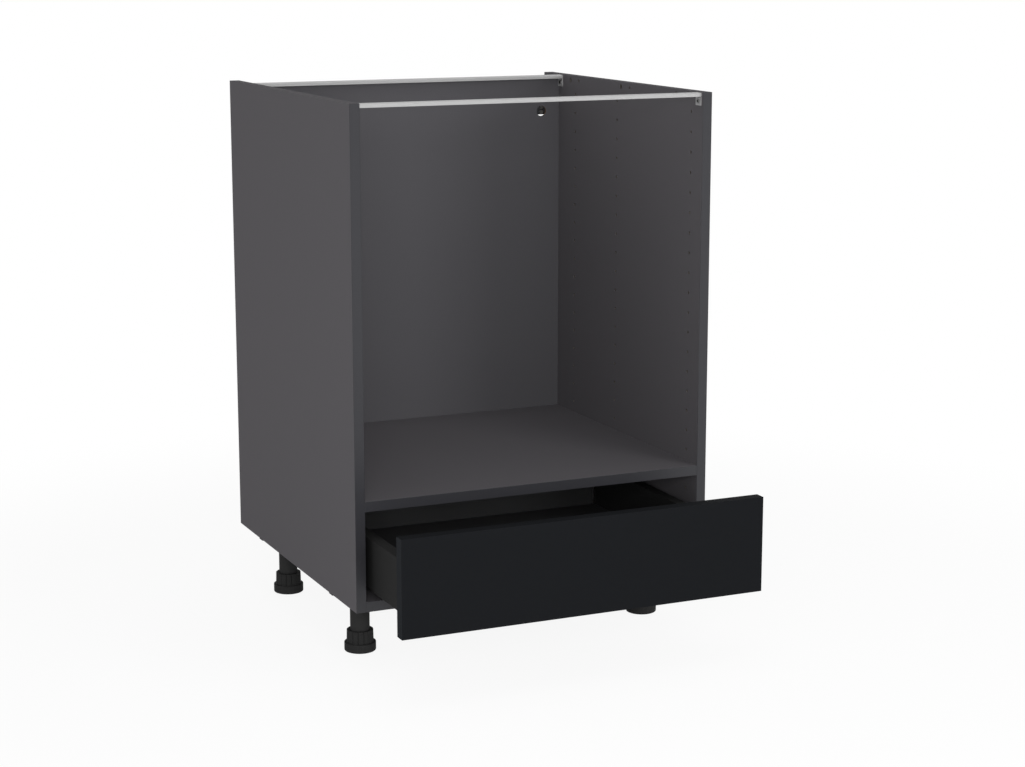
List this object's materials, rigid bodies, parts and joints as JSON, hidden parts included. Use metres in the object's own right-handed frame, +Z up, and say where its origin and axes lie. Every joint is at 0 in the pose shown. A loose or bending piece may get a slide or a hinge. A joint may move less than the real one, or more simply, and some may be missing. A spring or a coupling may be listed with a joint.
{
  "type": "oven base cabinet",
  "caption": "Base cabinet with an open niche for a built-in oven above one steel-sided drawer, on adjustable feet.",
  "frame": {"origin": "on the floor, under the middle of the overall box with the drawer as shown", "axes": "+Z up, the drawer pulls out towards -Y, +X to the viewer's right"},
  "size_m": [0.6, 0.764, 0.868],
  "materials": {
    "melamine_board": "dark grey melamine-faced chipboard, fine matt texture",
    "edge_band": "dark grey edge banding, satin",
    "back_board": "dark grey faced hardboard, matt",
    "black_front": "black lacquered board, smooth matt",
    "drawer_steel": "dark powder-coated sheet steel",
    "drawer_board": "black melamine-faced chipboard",
    "galvanised_steel": "galvanised, roll formed",
    "runner_steel": "zinc-plated sheet",
    "zinc_plated_steel": "zinc plated",
    "cast_zinc": "die cast, tumbled",
    "black_screw": "black zinc",
    "beech": "turned beech",
    "black_plastic": "moulded, matt",
    "bracket_plastic": "moulded, matt",
    "bumper_rubber": "soft"
  },
  "bodies": {
    "carcass": {"left_side_panel": "melamine_board", "right_side_panel": "melamine_board", "bottom_panel": "melamine_board", "oven_shelf": "melamine_board", "back_panel": "back_board", "left_side_edge_band": "edge_band", "right_side_edge_band": "edge_band", "bottom_edge_band": "edge_band", "shelf_edge_band": "edge_band", "front_rail": "galvanised_steel", "back_rail": "galvanised_steel", "rail_screws": "black_screw", "wooden_dowels": "beech", "cam_housings": "cast_zinc", "cam_bolts": "zinc_plated_steel", "back_panel_screws": "zinc_plated_steel", "front_left_leg_plate": "black_plastic", "front_right_leg_plate": "black_plastic", "rear_left_leg_plate": "black_plastic", "rear_right_leg_plate": "black_plastic", "front_left_leg_tube": "black_plastic", "front_right_leg_tube": "black_plastic", "rear_left_leg_tube": "black_plastic", "rear_right_leg_tube": "black_plastic", "leg_screws": "zinc_plated_steel", "left_wall_bracket": "bracket_plastic", "right_wall_bracket": "bracket_plastic", "bracket_adjusting_screws": "zinc_plated_steel", "left_cabinet_member": "runner_steel", "right_cabinet_member": "runner_steel", "runner_screws": "zinc_plated_steel"},
    "drawer": {"drawer_front": "black_front", "drawer_left_side": "drawer_steel", "drawer_right_side": "drawer_steel", "drawer_floor": "drawer_board", "drawer_back": "drawer_steel", "left_front_bracket": "cast_zinc", "right_front_bracket": "cast_zinc", "left_back_bracket": "zinc_plated_steel", "right_back_bracket": "zinc_plated_steel", "drawer_screws": "zinc_plated_steel", "drawer_bumpers": "bumper_rubber", "left_drawer_member": "runner_steel", "right_drawer_member": "runner_steel"},
    "left_middle_runner": {"left_middle_member": "runner_steel"},
    "left_outer_cage": {"left_outer_ball_cage": "runner_steel"},
    "left_inner_cage": {"left_inner_ball_cage": "runner_steel"},
    "right_middle_runner": {"right_middle_member": "runner_steel"},
    "right_outer_cage": {"right_outer_ball_cage": "runner_steel"},
    "right_inner_cage": {"right_inner_ball_cage": "runner_steel"},
    "front_left_adjuster": {"front_left_foot": "black_plastic"},
    "front_right_adjuster": {"front_right_foot": "black_plastic"},
    "rear_left_adjuster": {"rear_left_foot": "black_plastic"},
    "rear_right_adjuster": {"rear_right_foot": "black_plastic"},
    "left_hook": {"left_wall_hook": "zinc_plated_steel"},
    "right_hook": {"right_wall_hook": "zinc_plated_steel"}
  },
  "joints": [
    {"name": "drawer_slide", "type": "slide", "parent": "carcass", "child": "drawer", "axis": [0, -1, 0], "range_m": [-0.163, 0.307]},
    {"name": "left_middle_slide", "type": "slide", "parent": "carcass", "child": "left_middle_runner", "axis": [0, -1, 0], "range_m": [-0.0815, 0.1535]},
    {"name": "left_outer_cage_slide", "type": "slide", "parent": "carcass", "child": "left_outer_cage", "axis": [0, -1, 0], "range_m": [-0.04075, 0.07675]},
    {"name": "left_inner_cage_slide", "type": "slide", "parent": "carcass", "child": "left_inner_cage", "axis": [0, -1, 0], "range_m": [-0.12225, 0.23025]},
    {"name": "right_middle_slide", "type": "slide", "parent": "carcass", "child": "right_middle_runner", "axis": [0, -1, 0], "range_m": [-0.0815, 0.1535]},
    {"name": "right_outer_cage_slide", "type": "slide", "parent": "carcass", "child": "right_outer_cage", "axis": [0, -1, 0], "range_m": [-0.04075, 0.07675]},
    {"name": "right_inner_cage_slide", "type": "slide", "parent": "carcass", "child": "right_inner_cage", "axis": [0, -1, 0], "range_m": [-0.12225, 0.23025]},
    {"name": "front_left_foot_screw", "type": "slide", "parent": "carcass", "child": "front_left_adjuster", "axis": [0, 0, -1], "range_m": [-0.004, 0.02]},
    {"name": "front_right_foot_screw", "type": "slide", "parent": "carcass", "child": "front_right_adjuster", "axis": [0, 0, -1], "range_m": [-0.004, 0.02]},
    {"name": "rear_left_foot_screw", "type": "slide", "parent": "carcass", "child": "rear_left_adjuster", "axis": [0, 0, -1], "range_m": [-0.004, 0.02]},
    {"name": "rear_right_foot_screw", "type": "slide", "parent": "carcass", "child": "rear_right_adjuster", "axis": [0, 0, -1], "range_m": [-0.004, 0.02]},
    {"name": "left_hook_slide", "type": "slide", "parent": "carcass", "child": "left_hook", "axis": [0, -1, 0], "range_m": [0, 0.011]},
    {"name": "right_hook_slide", "type": "slide", "parent": "carcass", "child": "right_hook", "axis": [0, -1, 0], "range_m": [0, 0.011]}
  ],
  "couplings": [
    {"joint": "left_middle_slide", "follows": "drawer_slide", "ratio": 0.5},
    {"joint": "left_outer_cage_slide", "follows": "drawer_slide", "ratio": 0.25},
    {"joint": "left_inner_cage_slide", "follows": "drawer_slide", "ratio": 0.75},
    {"joint": "right_middle_slide", "follows": "drawer_slide", "ratio": 0.5},
    {"joint": "right_outer_cage_slide", "follows": "drawer_slide", "ratio": 0.25},
    {"joint": "right_inner_cage_slide", "follows": "drawer_slide", "ratio": 0.75}
  ]
}
